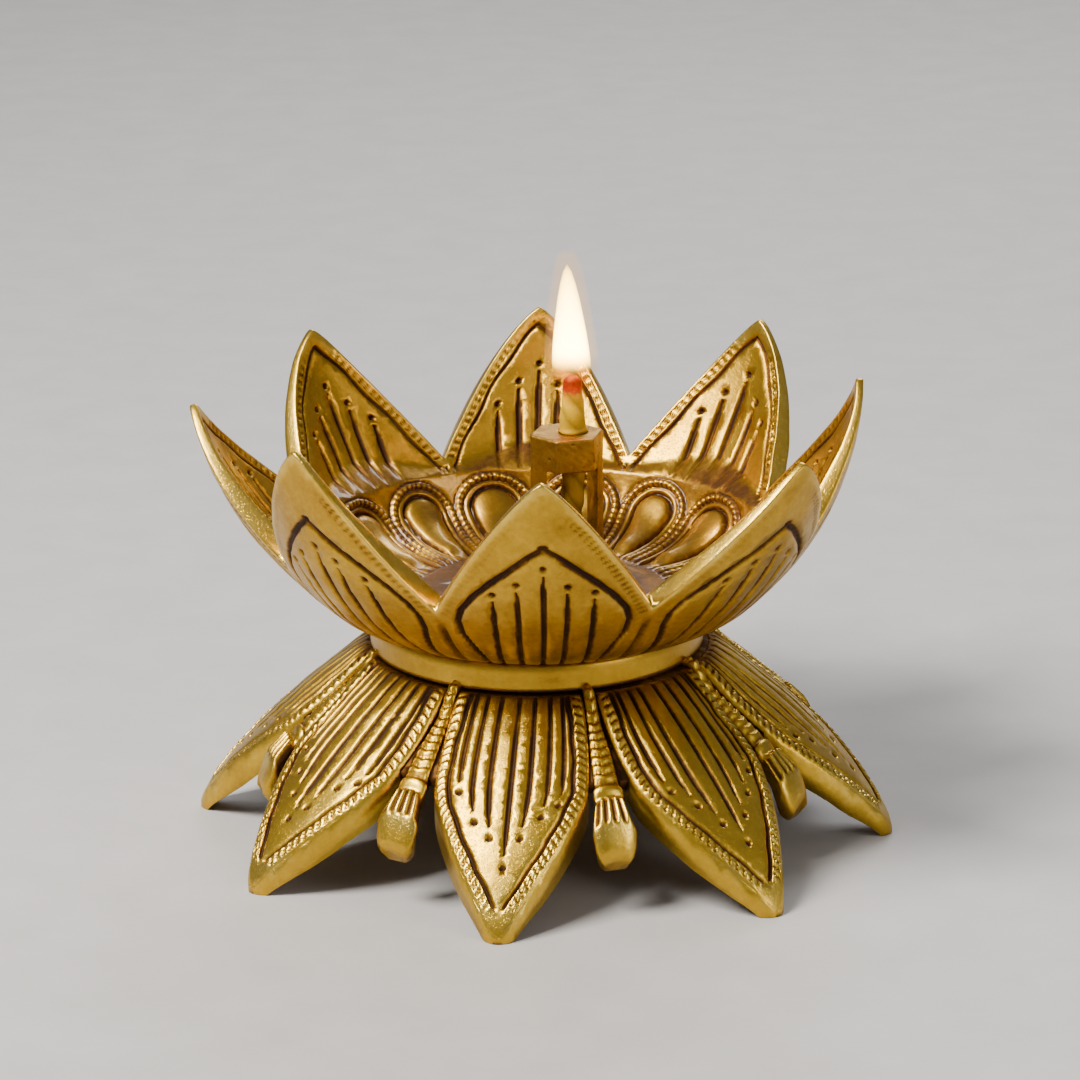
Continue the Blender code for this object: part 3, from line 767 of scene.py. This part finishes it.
def build_wick():
    """Three twisted strands of oiled cotton, drawn in at the burning tip and swollen above the post."""
    back = np.array([-math.sin(POST_TURN), math.cos(POST_TURN), 0])
    left = np.array([-math.cos(POST_TURN), -math.sin(POST_TURN), 0])
    foot = np.array([POST_X + WICK_X, 0, 0])
    line = smooth_route(np.array([foot + back * a + left * b + (0, 0, h) for a, b, h in WICK_ROUTE]), 22)
    run = np.concatenate([[0], np.cumsum(np.linalg.norm(np.diff(line, axis=0), axis=1))])
    tangent = np.gradient(line, axis=0)
    tangent /= np.linalg.norm(tangent, axis=1, keepdims=True)
    side = np.cross(tangent, np.broadcast_to(left, tangent.shape))
    side /= np.linalg.norm(side, axis=1, keepdims=True)
    other = np.cross(tangent, side)
    angle = np.linspace(0, 2 * math.pi, 60, endpoint=False)
    spin = STRANDS * (angle[None, :] + run[:, None] * STRAND_TWIST)
    strands = 1 - STRAND_GROOVE * (1 - np.abs(np.cos(spin / 2)) ** 0.8)
    fibres = (0.012 * np.sin(angle[None, :] * 26 + run[:, None] * 6)
              + 0.02 * np.sin(run[:, None] * 2.1 + angle * 2))
    swell = look_up(run, [(0, 0.42), (0.4, 0.66), (0.9, 0.80), (2.5, 0.85), (5, 0.95), (8, 1.08), (10.2, 1.15),
                          (10.9, 1.32), (11.3, 1.1), (12.5, 1.0)])
    tail = look_up(run[-1] - run, [(0, 0.5), (0.4, 0.9), (1.5, 1.0)])
    radius = WICK_R * (swell * tail)[:, None] * (strands + fibres)
    round_it = np.cos(angle)[None, :, None] * side[:, None] + np.sin(angle)[None, :, None] * other[:, None]
    burn = np.broadcast_to(1 - run[:, None] / BURN_FADE, strands.shape)
    # Painted shade: the tone is lower in the grooves between the strands, and the cotton is coloured darker
    # there.
    tone = 0.5 - 0.3 * (1 - strands) / STRAND_GROOVE
    return loops_mesh("wick_cotton", line[:, None] + radius[..., None] * round_it, tone=tone, burn=burn)


def build_flame(name, swell):
    """The flame's body, or with a swell of some mm the glow round it. It leans a little as it goes up."""
    angle = np.linspace(0, 2 * math.pi, 48, endpoint=False)
    loops = np.stack([on_circle(r + swell, angle, z + 0.8 * swell * (z - 94) / 10)
                      + np.array([POST_X + WICK_X - 0.035 * (z - 88), 0, 0]) for r, z in FLAME_OUTLINE])
    return loops_mesh(name, loops)


# ---------------------------------------------------------------- finishes

def node_tree(name):
    made = bpy.data.materials.new(name)
    made.use_nodes = True
    return made, made.node_tree, made.node_tree.nodes["Principled BSDF"]


def add(tree, kind, **values):
    node = tree.nodes.new(kind)
    for key, value in values.items():
        if key in node.inputs:
            node.inputs[key].default_value = value
        else:
            setattr(node, key, value)
    return node


def layer(tree, name):
    return add(tree, "ShaderNodeAttribute", attribute_name=name).outputs["Fac"]


def math_node(tree, operation, a, b):
    node = tree.nodes.new("ShaderNodeMath")
    node.operation = operation
    for socket, value in zip(node.inputs, (a, b)):
        if isinstance(value, (int, float)):
            socket.default_value = value
        else:
            tree.links.new(value, socket)
    return node.outputs[0]


def about_zero(tree, value, amount):
    """A noise of 0 to 1 turned into one that spreads this much about zero."""
    return math_node(tree, "MULTIPLY", math_node(tree, "SUBTRACT", value, 0.5), amount)


def ramp(tree, fac, stops):
    """A colour ramp. Each stop is a place and a colour, or a place and a single value."""
    node = tree.nodes.new("ShaderNodeValToRGB")
    elements = node.color_ramp.elements
    while len(elements) < len(stops):
        elements.new(0.5)
    for element, (place, colour) in zip(elements, stops):
        element.position = place
        element.color = (*colour, 1) if isinstance(colour, tuple) else (colour, colour, colour, 1)
    tree.links.new(fac, node.inputs[0])
    return node.outputs[0]


def noise(tree, scale, detail, roughness=0.55):
    place = add(tree, "ShaderNodeTexCoord")
    node = add(tree, "ShaderNodeTexNoise", Scale=scale, Detail=detail, Roughness=roughness)
    tree.links.new(place.outputs["Object"], node.inputs["Vector"])
    return node.outputs["Fac"]


def bump_from(tree, shader, height, strength, distance):
    bump = add(tree, "ShaderNodeBump", Strength=strength, Distance=distance)
    tree.links.new(height, bump.inputs["Height"])
    tree.links.new(bump.outputs["Normal"], shader.inputs["Normal"])


def brass(name, stops, rough=(0.62, 0.38, 0.27), tone=None, grain=1.0, oiled=False):
    """Old brass: bright where it is rubbed, brown in the cuts, finely cast and pitted.

    rough is the roughness in the cuts, on the plain metal and where it is rubbed.
    """
    made, tree, shader = node_tree(name)
    cloud, fine = noise(tree, 110, 6, 0.62), noise(tree, 900, 5, 0.6)
    if tone is None:
        tone = layer(tree, "tone")
    if oiled:
        tree.links.new(layer(tree, "wet"), shader.inputs["Coat Weight"])
        shader.inputs["Coat Roughness"].default_value = 0.09
    patchy = math_node(tree, "ADD", tone, about_zero(tree, cloud, 0.55))
    total = math_node(tree, "ADD", patchy, about_zero(tree, fine, 0.28))
    tree.links.new(ramp(tree, total, stops), shader.inputs["Base Color"])
    tree.links.new(ramp(tree, total, [*zip((0.05, 0.42, 0.85), rough)]), shader.inputs["Roughness"])
    tree.links.new(ramp(tree, total, [(0.05, 0.80), (0.35, 1.0)]), shader.inputs["Metallic"])
    pitted = ramp(tree, noise(tree, 2600, 3, 0.5), [(0.30, 0.0), (0.42, 1.0)])
    relief = math_node(tree, "ADD", math_node(tree, "MULTIPLY", fine, 0.8),
                       math_node(tree, "MULTIPLY", pitted, 0.35))
    bump_from(tree, shader, relief, 0.32 * grain, 0.22 * MM)
    return made


CAST_STOPS = [(0.02, (0.034, 0.012, 0.003)), (0.22, (0.13, 0.054, 0.008)), (0.42, (0.45, 0.255, 0.020)),
              (0.62, (0.60, 0.37, 0.032)), (0.92, (0.84, 0.62, 0.14))]
BOWL_STOPS = [(0.02, (0.034, 0.012, 0.003)), (0.22, (0.13, 0.050, 0.008)), (0.42, (0.38, 0.205, 0.016)),
              (0.62, (0.56, 0.33, 0.028)), (0.92, (0.82, 0.58, 0.12))]
TURNED_STOPS = [(0.1, (0.12, 0.05, 0.008)), (0.4, (0.40, 0.22, 0.017)), (0.8, (0.62, 0.38, 0.038))]
POST_STOPS = [(0.05, (0.05, 0.02, 0.005)), (0.3, (0.22, 0.11, 0.016)), (0.55, (0.44, 0.25, 0.035)),
              (0.9, (0.68, 0.44, 0.09))]
TURNED_ROUGH = (0.5, 0.36, 0.3)


def steel():
    made, tree, shader = node_tree("zinc_steel_worn")
    fine = noise(tree, 500, 5)
    colour = ramp(tree, fine, [(0.3, (0.30, 0.29, 0.27)), (0.7, (0.62, 0.61, 0.58))])
    tree.links.new(colour, shader.inputs["Base Color"])
    tree.links.new(ramp(tree, fine, [(0.3, 0.5), (0.7, 0.3)]), shader.inputs["Roughness"])
    shader.inputs["Metallic"].default_value = 1.0
    return made


def fibre():
    made, tree, shader = node_tree("seal_fibre_oiled")
    colour = ramp(tree, noise(tree, 800, 6), [(0.3, (0.09, 0.03, 0.015)), (0.7, (0.26, 0.11, 0.05))])
    tree.links.new(colour, shader.inputs["Base Color"])
    shader.inputs["Roughness"].default_value = 0.55
    return made


def cotton():
    """Oil-soaked cotton, olive gold, charred and glowing at the tip. Its yellow glow further down the oiled
    cotton is painted flame light.
    """
    made, tree, shader = node_tree("oiled_cotton_wick")
    fine = noise(tree, 1500, 4)
    burn_and_flame_light = math_node(tree, "ADD", layer(tree, "burn"), about_zero(tree, fine, 0.3))
    colour = ramp(tree, burn_and_flame_light, [(0.0, (0.50, 0.29, 0.003)), (0.35, (0.66, 0.41, 0.004)),
                                (0.58, (0.58, 0.32, 0.003)), (0.70, (0.32, 0.03, 0.004)),
                                (0.9, (0.12, 0.010, 0.003))])
    # Emission: the red glow of the ember near the tip, and below it a yellow glow on the oiled cotton, which is
    # painted light from the flame.
    glow = ramp(tree, burn_and_flame_light, [(0.0, (0.0, 0.0, 0.0)), (0.15, (0.16, 0.08, 0.0)), (0.60, (0.26, 0.11, 0.0)),
                              (0.74, (0.48, 0.04, 0.0)), (1.0, (0.22, 0.012, 0.0))])
    mix = add(tree, "ShaderNodeMix", data_type="RGBA", blend_type="MULTIPLY")
    mix.inputs["Factor"].default_value = 1.0
    colour_a, painted_groove_shade = mix.inputs[6], mix.inputs[7]
    tree.links.new(colour, colour_a)
    # Painted shade: the colour is multiplied darker where the tone marks the grooves between the strands.
    tree.links.new(ramp(tree, layer(tree, "tone"), [(0.15, 0.35), (0.5, 1.0)]), painted_groove_shade)
    tree.links.new(mix.outputs[2], shader.inputs["Base Color"])
    tree.links.new(glow, shader.inputs["Emission Color"])
    shader.inputs["Emission Strength"].default_value = 0.8
    shader.inputs["Roughness"].default_value = 0.42
    shader.inputs["Specular IOR Level"].default_value = 0.2
    shader.inputs["Subsurface Weight"].default_value = 0.35
    shader.inputs["Subsurface Radius"].default_value = (0.003, 0.0018, 0.0004)
    bump_from(tree, shader, fine, 0.35, 0.2 * MM)
    return made


def flame_material(name, power, tint, density):
    """Glowing air. A tint under 1 makes the colour redder."""
    made = bpy.data.materials.new(name)
    made.use_nodes = True
    tree = made.node_tree
    tree.nodes.clear()
    output = add(tree, "ShaderNodeOutputMaterial")
    place = add(tree, "ShaderNodeTexCoord")
    height = add(tree, "ShaderNodeSeparateXYZ")
    tree.links.new(place.outputs["Object"], height.inputs[0])
    above_foot = math_node(tree, "SUBTRACT", height.outputs["Z"], FLAME_FOOT_Z * MM)
    up = math_node(tree, "DIVIDE", above_foot, FLAME_COLOUR_RUN * MM)
    colour = ramp(tree, up, [(0.0, (1.0, 0.40 * tint, 0.01)), (0.2, (1.0, 0.62 * tint, 0.06 * tint)),
                             (0.4, (1.0, 0.84 * tint, 0.34 * tint)), (1.0, (1.0, 0.70 * tint, 0.15 * tint))])
    strength = ramp(tree, up, [(0.0, 0.001), (0.15, 0.004), (0.22, 0.04), (0.34, 1.0), (1.0, 0.8)])
    light = add(tree, "ShaderNodeEmission")
    tree.links.new(colour, light.inputs["Color"])
    tree.links.new(math_node(tree, "MULTIPLY", strength, power), light.inputs["Strength"])
    # A pale backdrop would show through as pink, so the flame also takes the blue out of what is behind it
    veil = add(tree, "ShaderNodeVolumeAbsorption", Color=(1.0, 0.72, 0.25, 1), Density=density)
    both = add(tree, "ShaderNodeAddShader")
    tree.links.new(light.outputs[0], both.inputs[0])
    tree.links.new(veil.outputs[0], both.inputs[1])
    tree.links.new(both.outputs[0], output.inputs["Volume"])
    return made


def finish_piece(made, body, node, look):
    made.data.materials.clear()
    made.data.materials.append(look)
    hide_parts(node)
    if body:
        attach(made, body)


# ---------------------------------------------------------------- surroundings

def build_floor():
    """A pale floor that curves up into a wall, in metres."""
    front, back, wall_height, bend, half_width = -1.6, 1.1, 1.2, 0.35, 2.5
    line = [(front, 0.0), (back, 0.0)]
    line += [(back + bend * math.sin(a), bend * (1 - math.cos(a))) for a in np.linspace(0, math.pi / 2, 17)[1:]]
    line.append((back + bend, wall_height))
    points = [(x, y, z) for y, z in line for x in (-half_width, half_width)]
    faces = [(2 * i, 2 * i + 1, 2 * i + 3, 2 * i + 2) for i in range(len(line) - 1)]
    mesh = bpy.data.meshes.new("floor_sweep")
    mesh.from_pydata(points, [], faces)
    mesh.shade_smooth()
    floor = new_object("floor_sweep", mesh)
    made, tree, shader = node_tree("pale_floor")
    colour = ramp(tree, noise(tree, 60, 4), [(0.3, (0.44, 0.42, 0.405)), (0.7, (0.48, 0.46, 0.445))])
    tree.links.new(colour, shader.inputs["Base Color"])
    shader.inputs["Roughness"].default_value = 0.6
    mesh.materials.append(made)


def area_light(name, place, size, power, colour):
    """A lamp of so many watts that looks at the middle of the object."""
    target = Vector((0, 0, 0.05))
    light = bpy.data.lights.new(name, "AREA")
    light.shape = "RECTANGLE"
    light.size, light.size_y = size
    light.energy = power
    light.color = colour
    made = new_object(name, light)
    made.location = place
    made.rotation_euler = (target - Vector(place)).to_track_quat("-Z", "Y").to_euler()


def build_lights():
    area_light("key", (-0.55, -0.35, 0.85), (0.42, 0.42), 26, (1.0, 0.97, 0.92))
    area_light("fill", (0.9, -0.7, 0.45), (0.5, 0.5), 4, (1.0, 0.96, 0.92))
    area_light("back", (0.25, 0.9, 0.8), (0.7, 0.4), 8, (0.95, 0.97, 1.0))
    world = bpy.data.worlds.new("studio")
    bpy.context.scene.world = world
    world.use_nodes = True
    shade = world.node_tree.nodes["Background"]
    shade.inputs["Color"].default_value = (0.86, 0.88, 0.92, 1)
    shade.inputs["Strength"].default_value = 0.27


def build_camera():
    """A long lens 0.8 m in front of the lamp, looking down on it."""
    pitch, roll = math.radians(-17.43), math.radians(-0.58)
    rolled = Vector((math.cos(roll), -math.sin(pitch) * math.sin(roll), math.cos(pitch) * math.sin(roll)))
    forward = Vector((0, math.cos(pitch), math.sin(pitch)))
    data = bpy.data.cameras.new("camera")
    data.sensor_width = 36
    data.lens = 142.4
    data.clip_start, data.clip_end = 0.05, 20
    camera = new_object("camera", data)
    axes = Matrix((rolled, rolled.cross(forward), -forward)).transposed()
    camera.matrix_world = Matrix.Translation((0, -0.8, 0.3086)) @ axes.to_4x4()
    bpy.context.scene.camera = camera


# ---------------------------------------------------------------- the scene

build_camera()
cast_brass = brass("antique_cast_brass", CAST_STOPS)
bowl_brass = brass("antique_bowl_brass", BOWL_STOPS, oiled=True)
turned_brass = brass("turned_band_brass", TURNED_STOPS, TURNED_ROUGH, grain=0.7)
plain_brass = brass("fastener_brass", TURNED_STOPS, TURNED_ROUGH, tone=0.5, grain=0.7)
post_brass = brass("pitted_post_brass", POST_STOPS, (0.62, 0.45, 0.36), grain=1.1)

finish_piece(build_stand(), "stand", "lotus_base", cast_brass)
finish_piece(build_bowl(), "bowl", "lotus_bowl", bowl_brass)
finish_piece(build_ring(), "stand", "foot_ring", turned_brass)
finish_piece(build_holder(), "holder", "wick_holder", post_brass)
wick = build_wick()
finish_piece(wick, None, "wick", cotton())
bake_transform(wick)
for name, look in (("base_screw", plain_brass), ("plain_washer", plain_brass), ("spring_washer", steel()),
                   ("seal_washer", fibre())):
    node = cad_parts[name]
    for index in range(len(node.material_slots)):
        node.material_slots[index].material = look

for name, swell, power, tint, density in (("flame", 0, 4500.0, 1.0, 260), ("flame_glow", 1.6, 70.0, 0.62, 60)):
    flame = build_flame(name, swell)
    flame.data.materials.append(flame_material(name, power, tint, density))
    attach(flame, "wick")
build_floor()
build_lights()
